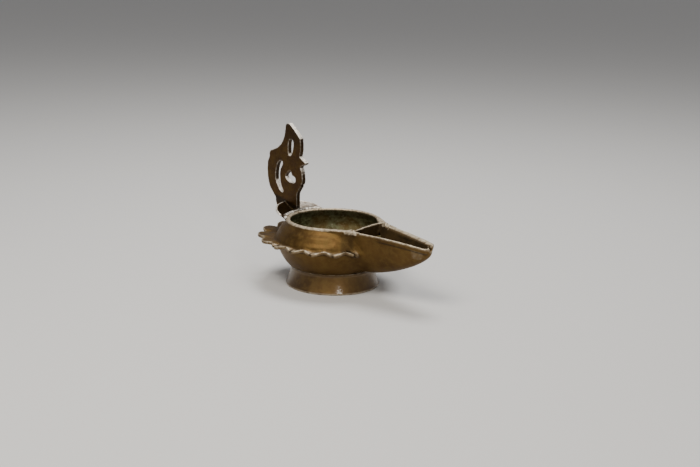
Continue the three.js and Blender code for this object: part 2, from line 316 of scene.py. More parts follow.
def filled_bowl(growth=0.0, top=RIM_HEIGHT):
    edge = 0 if top > RIM_HEIGHT else LIP_ROUNDING
    return turned("filled_bowl", [
        (0, SEAT_HEIGHT - growth),
        *bowl_side(growth),
        (RIM_RADIUS + growth, NECK_HEIGHT + LIP_ROUNDING),
        (RIM_RADIUS + growth, top - edge),
        (RIM_RADIUS + growth - edge, top),
        (0, top),
    ])


def bowl_hollow():
    floor = SEAT_HEIGHT + WALL
    inner = RIM_RADIUS - LIP_THICKNESS
    side = [(radius, height) for radius, height in bowl_side(-WALL)
            if floor + MM < height < NECK_HEIGHT - MM and radius > inner]
    return turned("bowl_hollow", [
        (0, floor),
        (SEAT_RADIUS - WALL, floor),
        *side,
        (inner, NECK_HEIGHT),
        (inner, RIM_HEIGHT - LIP_ROUNDING),
        (inner + LIP_ROUNDING, RIM_HEIGHT),
        (inner + LIP_ROUNDING, RIM_HEIGHT + OVERCUT),
        (0, RIM_HEIGHT + OVERCUT),
    ])


def ruffled_flange():
    """A ring cut in round petals, which droop at the front and arch like fingers at the back."""
    share = np.linspace(0, 1, 9)
    half = mix(FLANGE_ROOT_THICKNESS, FLANGE_EDGE_THICKNESS, share) / 2
    across = np.concatenate([share, share[::-1]])[:, None]
    through = np.concatenate([-half, half[::-1]])[:, None]
    steps = PETALS * 24
    angle = np.arange(steps) * 2 * math.pi / steps + PETAL_TURN
    in_petal = np.abs(np.sin(PETALS * (angle - PETAL_TURN) / 2))
    behind = ((1 - np.cos(angle)) / 2) ** FLANGE_REACH_SHARPNESS
    tip = FLANGE_RADIUS + FLANGE_REACH * behind - (PETAL_NOTCH + FLUTE_NOTCH * behind) * (1 - in_petal)
    radius = mix(SHOULDER_RADIUS - WALL / 2, tip, across)
    wave = PETAL_WAVE * (1 - 2 * in_petal ** 2) + FLUTE_RISE * behind * (in_petal - 0.5)
    height = FLANGE_HEIGHT + through + wave * across
    points = np.stack([radius * np.cos(angle), radius * np.sin(angle), height], axis=2)
    return new_object("flange", points.reshape(-1, 3), grid_faces(len(across), len(angle), True))


def along_spout(x, start):
    return np.clip((x - start) / (SPOUT_LENGTH - start), 0, 1)


def spout_width(x):
    """Half the outer width of the spout at x."""
    straight = mix(SPOUT_HALF_WIDTH, SPOUT_TIP_HALF_WIDTH, along_spout(x, SPOUT_EAR_X))
    past = np.clip((x - SPOUT_LENGTH + SPOUT_TIP_ROUNDING) / SPOUT_TIP_ROUNDING, 0, 0.97)
    return straight * np.sqrt(1 - past * past) + SPOUT_ROOT_FLARE * np.maximum(SPOUT_EAR_X - x, 0)


def spout_top(x, side=0):
    """Height of the spout's top edge at x: it falls to the tip, more at side -1 than at side 1."""
    drop = mix(SPOUT_NEAR_DROP, SPOUT_FAR_DROP, (side + 1) / 2)
    return RIM_HEIGHT - drop * along_spout(x, SPOUT_EAR_X) ** 2


def keel(x):
    """Height of the keel at x: it sweeps up to the tip."""
    share = along_spout(x, KEEL_START)
    depth = spout_top(x) - SPOUT_TIP_DEPTH - KEEL_HEIGHT
    return spout_top(x) - SPOUT_TIP_DEPTH - depth * (1 - share ** KEEL_POWER) ** (1 / KEEL_POWER)


def boat(start, end, inset, above, sides=96, stations=110):
    """The spout's body, drawn in by an inset and closed at a height above its edge."""
    side = np.cos(2 * math.pi * np.arange(sides) / sides)[None, :]
    lower = (np.arange(sides) < sides / 2)[None, :]
    share = np.linspace(0, 1, stations + 1)[:, None]
    x = mix(start, end, 1 - (1 - share) ** KEEL_POWER)
    half_width = np.maximum(spout_width(x + inset) - inset, WALL / 6)
    top = spout_top(x, side) + above
    bottom = keel(x) + inset
    height = np.where(lower, mix(bottom, top, np.abs(side) ** FLANK_POWER), top)
    return tube("boat", np.stack([x + 0 * side, half_width * side, height], axis=2))


def edge_bar(name, start, end, low, high, stations=60):
    """A bar that follows the spout's edge; low and high give [half width, depth below the edge] at x."""
    x = np.linspace(start, end, stations + 1)
    corners = []
    for side, (half_width, depth) in ((1, low(x)), (-1, low(x)), (-1, high(x)), (1, high(x))):
        corners.append(np.stack([x, side * half_width, spout_top(x, side) - depth], axis=1))
    return tube(name, np.stack(corners, axis=1))


def spout_band():
    """The raised band along the spout's edge out to the tip."""
    def proud(x):
        return BAND_PROUD * np.clip((x - BAND_START) / WALL, 0, 1)
    return edge_bar(
        "band", BAND_START, SPOUT_LENGTH - WALL / 2,
        lambda x: (spout_width(x) - WALL / 3 + proud(x), BAND_HEIGHT),
        lambda x: (spout_width(x) + proud(x), 0),
    )


def spout_bevel():
    """What is cut away for the sloping inner edge of the spout's mouth."""
    rise = OVERCUT / BEVEL_DEPTH
    return edge_bar(
        "bevel", SPOUT_EAR_X, SPOUT_LENGTH - SPOUT_TIP_ROUNDING / 2,
        lambda x: (np.maximum(spout_width(x) - BEVEL_EDGE - BEVEL_WIDTH, WALL / 4), BEVEL_DEPTH),
        lambda x: (np.maximum(spout_width(x) - BEVEL_EDGE + BEVEL_WIDTH * rise, WALL / 2), -OVERCUT),
    )


def block(name, low, high):
    """A plain closed box that only cuts."""
    points = [(x, y, z) for z in (low[2], high[2]) for y in (low[1], high[1]) for x in (low[0], high[0])]
    faces = [(0, 1, 3, 2), (4, 6, 7, 5), (0, 4, 5, 1), (2, 3, 7, 6), (0, 2, 6, 4), (1, 5, 7, 3)]
    return new_object(name, points, faces)


def wick_notch():
    half = WICK_NOTCH_WIDTH / 2
    tip_height = float(spout_top(SPOUT_LENGTH))
    return block("wick_notch", (SPOUT_LENGTH - WICK_NOTCH_LENGTH, -half, tip_height - WICK_NOTCH_DEPTH),
                 (SPOUT_LENGTH + OVERCUT, half, tip_height + OVERCUT))


def ear(side):
    """The worn knob on top of the wall where the spout leaves the rim."""
    theta = np.linspace(0, math.pi, 25)
    knob = turned("ear", np.stack([np.sin(theta), -np.cos(theta)], axis=1), 48)
    place = (SPOUT_EAR_X - EAR_LENGTH / 4, side * (SPOUT_HALF_WIDTH - EAR_WIDTH), RIM_HEIGHT - EAR_HEIGHT)
    size = Matrix.Diagonal((EAR_LENGTH, EAR_WIDTH, EAR_HEIGHT * 2, 1))
    knob.data.transform(Matrix.Translation(place) @ size)
    return knob


def bridge():
    """The strap across the mouth of the spout, with a way for the oil below it."""
    half = float(spout_width(BRIDGE_X)) - WALL
    low = RIM_HEIGHT - BRIDGE_DEPTH
    top = RIM_HEIGHT - LIP_ROUNDING / 2
    under = bezier([(-SHOULDER_RADIUS, low), (0, low + 2 * BRIDGE_ARCH), (SHOULDER_RADIUS, low)], 40)
    over = bezier([(half, top), (0, top), (-half, top - BRIDGE_FALL)], 40)
    outline = np.concatenate([under, [(SHOULDER_RADIUS, top)], over, [(-SHOULDER_RADIUS, top - BRIDGE_FALL)]])
    ends = [np.column_stack([np.full(len(outline), BRIDGE_X + side * BRIDGE_THICKNESS / 2), outline])
            for side in (-1, 1)]
    return tube("bridge", np.stack(ends))


def copied(obj):
    made = bpy.data.objects.new(obj.name + "_copy", obj.data.copy())
    bpy.context.scene.collection.objects.link(made)
    return made


def bowl_casting():
    """The bowl with its flange, spout and bridge, round the Z axis."""
    hollow_end = SPOUT_LENGTH - WALL - SPOUT_TIP_ROUNDING / 2
    made = combine(filled_bowl(), "UNION", boat(SPOUT_ROOT_X, SPOUT_LENGTH, 0, 0))
    strap = combine(bridge(), "INTERSECT", copied(made))
    combine(made, "UNION", ruffled_flange(), spout_band(), ear(1), ear(-1))
    combine(made, "DIFFERENCE", bowl_hollow(), boat(SPOUT_ROOT_X, hollow_end, WALL, OVERCUT),
            spout_bevel(), wick_notch())
    return combine(made, "UNION", strap)


def foot_casting():
    """A hollow flared ring, open above and below."""
    side = bezier([
        (FOOT_BASE_RADIUS, FOOT_LIP),
        ((FOOT_BASE_RADIUS + FOOT_TOP_RADIUS) / 2 - FOOT_WAIST, FOOT_HEIGHT / 2),
        (FOOT_TOP_RADIUS, FOOT_HEIGHT),
    ], 32)
    step = bezier([
        side[-4],
        (FOOT_TOP_RADIUS, FOOT_HEIGHT),
        (FOOT_TOP_RADIUS + FOOT_STEP_OUT, FOOT_HEIGHT + FOOT_STEP_UP),
    ], 8)
    return turned("foot_casting", [
        (FOOT_BASE_RADIUS - FOOT_WALL, 0),
        (FOOT_BASE_RADIUS - FOOT_LIP / 2, 0),
        *side[:-4],
        *step,
        (FOOT_TOP_RADIUS - FOOT_WALL, SEAT_HEIGHT),
    ])


def ledge():
    """The ledge behind the rim, dished like a saucer and tilted up away from the bowl."""
    inner = LEDGE_RADIUS - LEDGE_EDGE
    under = bezier([
        (0, -LEDGE_DISH - LEDGE_THICKNESS),
        (inner * 0.62, -LEDGE_DISH - LEDGE_THICKNESS),
        (inner * 0.8, -LEDGE_DISH / 2 - LEDGE_THICKNESS),
        (LEDGE_RADIUS, -LEDGE_EDGE / 2),
    ], 24)
    over = bezier([(inner, LEDGE_EDGE / 3), (inner * 0.72, -LEDGE_DISH), (0, -LEDGE_DISH)], 24)
    saucer = turned("ledge", [*under, (LEDGE_RADIUS - LEDGE_EDGE / 3, LEDGE_EDGE / 2), *over], 160)
    shear = Matrix.Identity(4)
    shear[2][0] = -LEDGE_TILT
    shear[2][1] = LEDGE_ROLL
    saucer.data.transform(Matrix.Translation((LEDGE_X, LEDGE_Y, RIM_HEIGHT - LEDGE_DROP)) @ shear)
    return saucer


def saddle():
    """The thick seam of the thumb-rest that hugs the rim from outside."""
    inner = RIM_RADIUS - LIP_THICKNESS
    outer = NECK_RADIUS + JOINT_GAP + SADDLE_THICKNESS
    top = RIM_HEIGHT + SADDLE_PROUD
    ring = turned("saddle", [
        (inner, RIM_HEIGHT - SADDLE_HEIGHT),
        (outer + SADDLE_THICKNESS, RIM_HEIGHT - SADDLE_HEIGHT),
        (outer, top - SADDLE_PROUD),
        (outer - SADDLE_PROUD, top),
        (inner, top),
    ])
    width = LEDGE_RADIUS - LEDGE_EDGE
    reach = turned("reach", [(0, RIM_HEIGHT / 2), (width, RIM_HEIGHT / 2), (width, RIM_HEIGHT * 1.5),
                             (0, RIM_HEIGHT * 1.5)], 160)
    reach.data.transform(Matrix.Translation((LEDGE_X, LEDGE_Y, 0)))
    return combine(ring, "INTERSECT", reach)


def spline(points, steps, closed=False):
    """A smooth curve through a few points, as a list of points without its last one."""
    points = np.array(points)
    count = len(points)
    made = []
    for i in range(count if closed else count - 1):
        index = [i - 1, i, i + 1, i + 2]
        index = [j % count if closed else min(max(j, 0), count - 1) for j in index]
        a, b, c, d = points[index]
        for share in np.arange(steps) / steps:
            tangent_in, tangent_out = (c - a) / 2, (d - b) / 2
            cube, square = share ** 3, share ** 2
            made.append((2 * cube - 3 * square + 1) * b + (cube - 2 * square + share) * tangent_in
                        + (3 * square - 2 * cube) * c + (cube - square) * tangent_out)
    return made


PLATE_SIDES = [
    [(-0.005, -0.06), (0.215, -0.06)],
    [(0.215, -0.06), (0.213, 0)],
    [(0.213, 0), (0.211, 0.09), (0.214, 0.18), (0.249, 0.24)],
    [(0.249, 0.24), (0.298, 0.32), (0.302, 0.39), (0.287, 0.464), (0.263, 0.514)],
    [(0.263, 0.514), (0.352, 0.553)],
    [(0.352, 0.553), (0.356, 0.573)],
    [(0.356, 0.573), (0.247, 0.632)],
    [(0.247, 0.632), (0.262, 0.68), (0.266, 0.76), (0.258, 0.843)],
    [(0.258, 0.843), (0.18, 0.915), (0.099, 0.975), (0.064, 0.997), (0.02, 0.992)],
    [(0.02, 0.992), (0, 0.965), (-0.008, 0.9), (-0.026, 0.825), (-0.075, 0.745), (-0.15, 0.684)],
    [(-0.15, 0.684), (-0.268, 0.636)],
    [(-0.268, 0.636), (-0.29, 0.6), (-0.286, 0.565), (-0.317, 0.49), (-0.322, 0.392)],
    [(-0.322, 0.392), (-0.311, 0.297), (-0.279, 0.204), (-0.224, 0.14), (-0.172, 0.085)],
    [(-0.172, 0.085), (-0.155, 0.01), (-0.1, -0.035), (-0.005, -0.06)],
]
PLATE_OPENINGS = [
    [(0.062, 0.79), (0.1, 0.812), (0.135, 0.795), (0.137, 0.73), (0.11, 0.645), (0.068, 0.622),
     (0.052, 0.69)],
    [(-0.06, 0.535), (-0.12, 0.515), (-0.16, 0.42), (-0.167, 0.32), (-0.137, 0.25), (-0.085, 0.183),
     (-0.035, 0.168), (-0.045, 0.2), (-0.08, 0.265), (-0.093, 0.345), (-0.088, 0.43), (-0.05, 0.5)],
    [(0.089, 0.44), (0.03, 0.4), (0.012, 0.36), (0.073, 0.311), (0.168, 0.315), (0.172, 0.37), (0.12, 0.39)],
]


def slab(name, outline, half):
    """A flat body in the plane of the spout, of an outline in shares of the plate's height."""
    ends = []
    for side in (-1, 1):
        ends.append([(PLATE_X + across * PLATE_HEIGHT, side * half, RIM_HEIGHT + up * PLATE_HEIGHT)
                     for across, up in outline])
    return tube(name, np.array(ends))


def plate():
    """The openwork plate: a pointed leaf with a barb on each side, a lobed body and three openings."""
    outline = [point for side in PLATE_SIDES for point in spline(side, 8)]
    made = slab("plate", outline, PLATE_THICKNESS / 2)
    for opening in PLATE_OPENINGS:
        combine(made, "DIFFERENCE", slab("opening", spline(opening, 8, True), PLATE_THICKNESS))
    return made


def thumb_rest_casting():
    made = ledge()
    combine(made, "UNION", saddle(), plate())
    return combine(made, "DIFFERENCE", filled_bowl(JOINT_GAP, RIM_HEIGHT + LEDGE_RADIUS))


class Surface:
    """The points of an even mesh with their neighbours, for smoothing, wear and relief."""

    def __init__(self, obj):
        self.mesh = obj.data
        self.points = np.empty(len(self.mesh.vertices) * 3)
        self.mesh.vertices.foreach_get("co", self.points)
        self.points = self.points.reshape(-1, 3)
        edges = np.empty(len(self.mesh.edges) * 2, dtype=int)
        self.mesh.edges.foreach_get("vertices", edges)
        edges = edges.reshape(-1, 2)
        self.starts = np.concatenate([edges[:, 0], edges[:, 1]])
        self.ends = np.concatenate([edges[:, 1], edges[:, 0]])
        self.counts = np.bincount(self.starts, minlength=len(self.points))

    def around(self, values):
        """The mean of each point's neighbours."""
        if values.ndim == 1:
            return np.bincount(self.starts, values[self.ends], len(self.points)) / self.counts
        return np.stack([self.around(values[:, axis]) for axis in range(values.shape[1])], axis=1)

    def relax(self, rounds, pull=0.5, push=-0.52):
        """Smooths the points without shrinking the body."""
        for _ in range(rounds):
            for weight in (pull, push):
                self.points = mix(self.points, self.around(self.points), weight)
        self.store()

    def store(self):
        self.mesh.vertices.foreach_set("co", self.points.ravel())
        self.mesh.update()

    def normals(self):
        values = np.empty(len(self.mesh.vertices) * 3)
        self.mesh.vertex_normals.foreach_get("vector", values)
        return values.reshape(-1, 3)

    def soften(self, mask, rounds):
        """Rounds the surface off where the mask is over 0."""
        near = np.flatnonzero(mask > 0.01)
        chosen = np.zeros(len(self.points), dtype=bool)
        chosen[near] = True
        kept = chosen[self.starts]
        place = np.zeros(len(self.points), dtype=int)
        place[near] = np.arange(len(near))
        starts, ends = place[self.starts[kept]], self.ends[kept]
        counts, weight = self.counts[near][:, None], 0.6 * mask[near][:, None]
        for _ in range(rounds):
            sums = [np.bincount(starts, self.points[ends, axis], len(near)) for axis in range(3)]
            self.points[near] = mix(self.points[near], np.stack(sums, axis=1) / counts, weight)
        self.store()

    def lift(self, heights):
        """Moves each point along its normal."""
        self.points = self.points + self.normals() * heights[:, None]
        self.store()

    def bulge(self, rounds):
        """How far each point stands proud of its surroundings: over 0 on edges, under 0 in hollows."""
        mean = self.points
        for _ in range(rounds):
            mean = self.around(mean)
        return np.einsum("ij,ij->i", self.points - mean, self.normals())

    def attribute(self, name, values):
        self.mesh.attributes.new(name, "FLOAT", "POINT").data.foreach_set("value", values.astype(np.float32))


def noise_at(points, size, octaves=3, seed=0.0):
    """Smooth noise from about -1 to 1 with features of a size."""
    shift = Vector((seed, seed * 0.7, seed * 1.3))
    return np.array([noise.fractal(Vector(point) / size + shift, 1.0, 2.0, octaves) for point in points])


def regions(points):
    """Where each point of the lamp's own frame lies: its radius, its height, and its side of the spout."""
    x, y, z = points.T
    return x, y, z, np.hypot(x, y), np.sign(y)


def band(values, low, high, soft):
    """1 between low and high, with soft ends outside them."""
    return smooth_step(low - soft, low, values) * (1 - smooth_step(high, high + soft, values))


def petal_valley(points):
    """1 along the cuts between the petals and 0 on their backs, and how far out each point lies."""
    x, y, z, radius, _ = regions(points)
    angle = np.arctan2(y, x)
    off_cut = radius * np.abs(np.sin(PETALS * (angle - 2 * PETAL_TURN) / 2)) / (PETALS / 2)
    out = smooth_step(SHOULDER_RADIUS + 0.5 * MM, SHOULDER_RADIUS + 4 * MM, radius)
    out = out * (np.abs(y) > spout_width(x) - 2 * MM)
    out = out * band(z, FLANGE_HEIGHT - 8 * MM, FLANGE_HEIGHT + 7 * MM, MM)
    return np.exp(-(off_cut / PETAL_CUT_WIDTH) ** 2) * out, out


def behind(points):
    """0 at the spout, 1 under the thumb-rest."""
    return (1 - points[:, 0] / np.hypot(points[:, 0], points[:, 1]).clip(MM)) / 2


def off_the_bowl(points):
    """How far each point lies outside the bowl's own outline."""
    outline = bowl_side(0)
    return np.hypot(points[:, 0], points[:, 1]) - np.interp(points[:, 2], outline[:, 1], outline[:, 0])


def at_join(points):
    """1 outside where the belly and the collar meet the spout, 0 a little way off."""
    x, y, z, _, _ = regions(points)
    height = spout_top(x) - keel(x)
    share = np.clip((z - keel(x)) / height, 0, 1)
    off_flank = np.abs(np.abs(y) - spout_width(x) * share ** (1 / FLANK_POWER))
    off_keel = np.abs(z - keel(x) - height * np.clip(np.abs(y) / spout_width(x), 0, 1) ** FLANK_POWER)
    near = np.hypot(off_the_bowl(points), np.minimum(off_flank, off_keel))
    above_flange = smooth_step(FLANGE_HEIGHT - 2 * MM, FLANGE_HEIGHT + 4 * MM, z)
    reach = mix(JOIN_REACH_BELOW, JOIN_REACH_ABOVE, above_flange)
    mask = (1 - smooth_step(0.2 * reach, reach, near)) * (1 - inside_vessel(points))
    mask *= smooth_step(SPOUT_ROOT_X - 2 * MM, SPOUT_ROOT_X + 12 * MM, x)
    mask *= 1 - smooth_step(RIM_HEIGHT - 6 * MM, RIM_HEIGHT - 2.5 * MM, z)
    return mask * (1 - 0.8 * petal_valley(points)[1])


def bowl_relief(points):
    """How far the bowl's outside rises: a ridge and a groove round the collar, and cuts between petals."""
    x, y, z, _, _ = regions(points)
    past_collar = smooth_step(-4 * MM, 4 * MM, x - SPOUT_ROOT_X - np.abs(y) * 0.4)
    on_collar = (np.abs(off_the_bowl(points)) < 1.2 * MM) * (1 - past_collar)
    ridge = np.exp(-((z - RIDGE_HEIGHT) / RIDGE_WIDTH) ** 2) * RIDGE_PROUD
    groove = np.exp(-((z - GROOVE_HEIGHT) / GROOVE_WIDTH) ** 2) * GROOVE_DEPTH
    valley, _ = petal_valley(points)
    return (ridge - groove) * on_collar - valley * mix(PETAL_CUT_FRONT, PETAL_CUT_BACK, behind(points))


def worn_and_highlit_bowl(points, normals):
    """How pale the bowl is, from rubbing and painted highlights: its lip, petals, bevels, knobs, the bridge's
    edge and the flank of the tip. The petals and bevels are paler where they face up, and the bridge's top
    edge is a painted highlight line.
    """
    x, y, z, radius, side = regions(points)
    edge = z - spout_top(x, side)
    lip = band(radius, RIM_RADIUS - LIP_THICKNESS, RIM_RADIUS + LIP_FLARE, 0.5 * MM)
    lip = lip * band(edge, -MM, MM, MM)
    root_edge = (x > SPOUT_ROOT_X) * (x < SPOUT_EAR_X) * band(edge, -0.7 * MM, MM, 0.4 * MM)
    lip = np.maximum(lip, root_edge)
    valley, petal = petal_valley(points)
    # Painted highlight: the petals and bevels are paler where they face up.
    facing_up = np.clip(normals[:, 2], 0, 1)
    petal = petal * mix(0.2, 0.65, facing_up) * (1 - valley)
    bevel = (x > SPOUT_EAR_X - EAR_LENGTH) * band(edge, -0.8 * MM, MM, 0.9 * MM)
    bevel = bevel * (0.3 + 0.7 * facing_up)
    knob = (np.abs(x - SPOUT_EAR_X + EAR_LENGTH / 4) < EAR_LENGTH * 0.8) * band(edge, -2 * MM, 4 * MM, MM)
    knob = knob * (np.abs(y) > SPOUT_HALF_WIDTH * 0.8)
    # Painted highlight along the bridge's top edge, brighter towards the far side.
    strap = band(np.abs(x - BRIDGE_X), 0, BRIDGE_THICKNESS * 0.55, 0.2 * MM) * (facing_up > 0.5)
    strap = strap * (z > RIM_HEIGHT - BRIDGE_FALL - 2 * MM) * (np.abs(y) < spout_width(BRIDGE_X) - WALL)
    strap = strap * smooth_step(-SPOUT_HALF_WIDTH, 0, y)
    tip = band(x, SPOUT_LENGTH - 14 * MM, SPOUT_LENGTH - 7 * MM, 3 * MM)
    tip = tip * band(edge, -11 * MM, -BAND_HEIGHT, MM)
    tip = tip * (np.abs(y) > spout_width(x) * 0.5)
    return np.maximum.reduce([lip * 0.9, petal, bevel, knob * 0.9, strap, tip * 0.14])


def shaded_bowl(points, normals):
    """How dark the bowl is, as painted shade: a shadow line below the spout's band, the cuts between petals,
    under the rim inside and on the facets beside the knobs.
    """
    x, y, z, _, side = regions(points)
    off_line = (z - spout_top(x, side) + BAND_HEIGHT + 0.5 * MM) / (0.6 * MM)
    under_band = np.exp(-off_line ** 2) * smooth_step(BAND_START - 8 * MM, BAND_START + 4 * MM, x)
    under_band = under_band * (np.abs(y) > spout_width(x) * 0.6)
    under_rim = inside_vessel(points) * (x < BRIDGE_X) * band(z, RIM_HEIGHT - 6 * MM, RIM_HEIGHT, 4 * MM)
    facet = band((x - np.abs(y)) * math.sqrt(0.5), FACET_START, FACET_END, 2.5 * MM)
    facet = facet * (1 - inside_vessel(points))
    facet = facet * band(z, FLANGE_HEIGHT + 2 * MM, RIM_HEIGHT - 2.5 * MM, 1.5 * MM)
    return np.maximum.reduce([petal_valley(points)[0], under_band, under_rim * 0.75, facet * 0.5])


def worn_foot(points, normals):
    """How pale the foot is: a line round its base."""
    return band(points[:, 2], 0, 1.2 * MM, 0.8 * MM) * 0.55


def shaded_foot(points, normals):
    """How dark the foot is: a soft shade where it meets the bowl."""
    return smooth_step(FOOT_HEIGHT - 1.5 * MM, FOOT_HEIGHT, points[:, 2]) * 0.3


def at_seam(points):
    """1 on the rough seam where the thumb-rest joins the rim."""
    x, y, z, radius, _ = regions(points)
    near_rim = band(radius, RIM_RADIUS - LIP_THICKNESS, NECK_RADIUS + SADDLE_THICKNESS + MM, MM)
    near_rim *= band(z, RIM_HEIGHT - 4 * MM, RIM_HEIGHT + 3 * MM, MM)
    return near_rim * band(y - LEDGE_Y, -SEAM_HALF_LENGTH, SEAM_HALF_LENGTH, 3 * MM) * (x < 0)


def ledge_level(points):
    """Height of the ledge's tilted rim plane at each point."""
    fall = LEDGE_TILT * (points[:, 0] - LEDGE_X)
    return RIM_HEIGHT - LEDGE_DROP - fall + LEDGE_ROLL * (points[:, 1] - LEDGE_Y)


def worn_and_highlit_thumb_rest(points, normals):
    """How pale the thumb-rest is: its rough seam, the ledge's rim, a painted highlight on the plate's edges
    that look up and a painted patch of light on the far part of the dish.
    """
    x, y, z, _, _ = regions(points)
    from_middle = np.hypot(x - LEDGE_X, y - LEDGE_Y)
    above = z - ledge_level(points)
    rim = band(from_middle, LEDGE_RADIUS - 1.2 * MM, LEDGE_RADIUS + 1.5 * MM, 0.5 * MM)
    rim = rim * band(above, -2 * MM, 3 * MM, MM)
    rim *= np.abs(y) > PLATE_THICKNESS / 2 + 0.4 * MM
    # Painted highlight on the plate's edges that face up.
    edges = (above > 3 * MM) * (np.abs(y) < PLATE_THICKNESS) * smooth_step(0.15, 0.5, normals[:, 2])
    # Painted light on the far part of the dish floor.
    dish = (above < MM) * (from_middle < LEDGE_RADIUS - MM) * (y > 6 * MM) * 0.25
    return np.maximum.reduce([rim, edges, at_seam(points) * 0.75, dish])


def shaded_thumb_rest(points, normals):
    """How dark the thumb-rest is: painted shade in the ledge's dish, darker on its near side, at the plate's
    root and on edges facing the bowl, and the plate's broad faces darker near its tip.
    """
    x, y, z, _, _ = regions(points)
    above = z - ledge_level(points)
    from_middle = np.hypot(x - LEDGE_X, y - LEDGE_Y)
    dish = (from_middle < LEDGE_RADIUS - 1.5 * MM) * (above < 0) * (normals[:, 2] > 0.2)
    dish = dish * mix(0.8, 0.45, smooth_step(-4 * MM, 8 * MM, y)) * (1 - at_seam(points))
    edges = (above > 3 * MM) * smooth_step(0.5, 0.8, normals[:, 0])
    edges = edges * (1 - smooth_step(0.1, 0.3, normals[:, 2]))
    root = band(np.abs(y), 0, PLATE_THICKNESS / 2 + 2 * MM, MM)
    root = root * band(above, -LEDGE_DISH, 1.5 * MM, 2 * MM)
    leaf = smooth_step(RIM_HEIGHT + 0.7 * PLATE_HEIGHT, RIM_HEIGHT + 0.85 * PLATE_HEIGHT, z)
    leaf = leaf * smooth_step(0.6, 0.9, np.abs(normals[:, 1]))
    return np.maximum.reduce([dish, edges * 0.6, root, leaf * 0.45])


def at_saddle(points):
    """1 where the seam of the thumb-rest runs out into the dish of its ledge."""
    _, _, z, radius, _ = regions(points)
    outer = NECK_RADIUS + SADDLE_THICKNESS
    below_rim = 1 - smooth_step(RIM_HEIGHT - MM, RIM_HEIGHT + MM, z)
    return band(radius, outer + MM, outer + 5 * MM, MM) * below_rim


def rough_bowl(points):
    """Height of the bowl's lumps: on its knobs, its tip, its petals and along the thumb-rest's seam."""
    x, y, z, _, _ = regions(points)
    knob = (np.abs(x - SPOUT_EAR_X) < EAR_LENGTH) * (np.abs(y) > SPOUT_HALF_WIDTH * 0.7)
    knob = knob * (z > RIM_HEIGHT - 3 * MM)
    tip = (x > SPOUT_LENGTH - 6 * MM) * (z > RIM_HEIGHT - 5 * MM)
    _, petal = petal_valley(points)
    return np.maximum.reduce([knob * 0.55, tip * 0.35, at_seam(points) * 0.5, petal * 0.2]) * MM


def rough_foot(points):
    """Height of the foot's lumps: low everywhere."""
    return np.full(len(points), 0.04 * MM)


def rough_thumb_rest(points):
    """Height of the thumb-rest's lumps: highest along its seam."""
    return np.maximum(at_seam(points) * 0.6, 0.07) * MM


def inner_faces(points):
    """1 on the inner faces of the bowl, and 1 on those of the spout, each with 0 elsewhere."""
    x, y, z, radius, side = regions(points)
    above_floor = z > SEAT_HEIGHT + WALL / 2
    outline = bowl_side(-WALL / 2)
    half_wall = np.interp(z, outline[:, 1], outline[:, 0])
    in_lip = radius < RIM_RADIUS - LIP_THICKNESS * 0.8
    in_bowl = above_floor & np.where(z < NECK_HEIGHT, radius < half_wall, in_lip)
    in_bowl &= (z < RIM_HEIGHT - 1.2 * MM) & (x < BRIDGE_X)
    share = np.clip((z - keel(x)) / (spout_top(x) - keel(x)), 0, 1) ** (1 / FLANK_POWER)
    in_spout = (x > SPOUT_ROOT_X) & (np.abs(y) < spout_width(x) * share - WALL * 0.55)
    in_spout &= (z > keel(x) + WALL * 0.6) & (z < spout_top(x, side) - MM)
    in_spout &= x < SPOUT_LENGTH - WALL / 2
    in_spout &= (x < SPOUT_EAR_X) | (np.abs(y) < spout_width(x) - BEVEL_EDGE - BEVEL_WIDTH + 0.3 * MM)
    in_spout &= ~in_bowl
    return in_bowl.astype(float), in_spout.astype(float)


def inside_vessel(points):
    """1 on the inner faces of the bowl and the spout, 0 elsewhere."""
    in_bowl, in_spout = inner_faces(points)
    return np.maximum(in_bowl, in_spout)


def finish_surface(obj, voxel, unevenness, seed, worn_and_highlit, shaded, rough_places, relief=None, join=None):
    """Remeshes a casting, softens its joins, makes it uneven like cast metal, and marks where it is pale from
    rubbing and painted highlights and dark from painted shade.
    """
    remesh(obj, voxel)
    surface = Surface(obj)
    surface.relax(2)
    if join:
        surface.soften(join(surface.points), JOIN_ROUNDS)
    if relief:
        surface.lift(relief(surface.points))
    waves = noise_at(surface.points, WAVE_SIZE, 2, seed)
    grain = noise_at(surface.points, GRAIN_SIZE, 3, seed + 5)
    lumps = noise_at(surface.points, LUMP_SIZE, 2, seed + 9)
    surface.lift((waves * 1.5 + grain * 0.4) * unevenness + lumps * rough_places(surface.points))
    normals = surface.normals()
    near = surface.bulge(3) / voxel
    wide = surface.bulge(12) / voxel
    # Pale on convex edges from rubbing, with a painted highlight that is strongest where the edges face up.
    edges = smooth_step(0.08, 0.5, near) * mix(0.2, 1.0, np.clip(normals[:, 2] + 0.3, 0, 1))
    in_bowl, in_spout = inner_faces(surface.points)
    inside = np.maximum(in_bowl, in_spout)
    rubbed_and_highlit = np.maximum(worn_and_highlit(surface.points, normals), edges)
    pale = np.clip(rubbed_and_highlit * (1 + 0.8 * grain), 0, 1)
    surface.attribute("wear_and_highlight", pale * (1 - 0.7 * inside * (1 - rubbed_and_highlit)))
    # Painted shade: darker in creases and hollows, less so inside the vessel, plus each piece's own painted
    # shade; kept as the hollow attribute.
    painted_shade = smooth_step(0.05, 0.6, -near) + smooth_step(0.3, 1.8, -wide)
    painted_shade = painted_shade * (1 - 0.6 * inside) + shaded(surface.points, normals)
    surface.attribute("hollow", np.clip(painted_shade, 0, 1))
    surface.attribute("crust", in_bowl * (1 - rubbed_and_highlit))
    surface.attribute("soot", in_spout * (1 - rubbed_and_highlit))
    surface.attribute("amber", smooth_step(-5 * MM, 25 * MM, surface.points[:, 1]) * inside)
    obj.data.polygons.foreach_set("use_smooth", [True] * len(obj.data.polygons))


# Places of a Mix node's two colour inputs
COLOUR_A = 6
COLOUR_B = 7


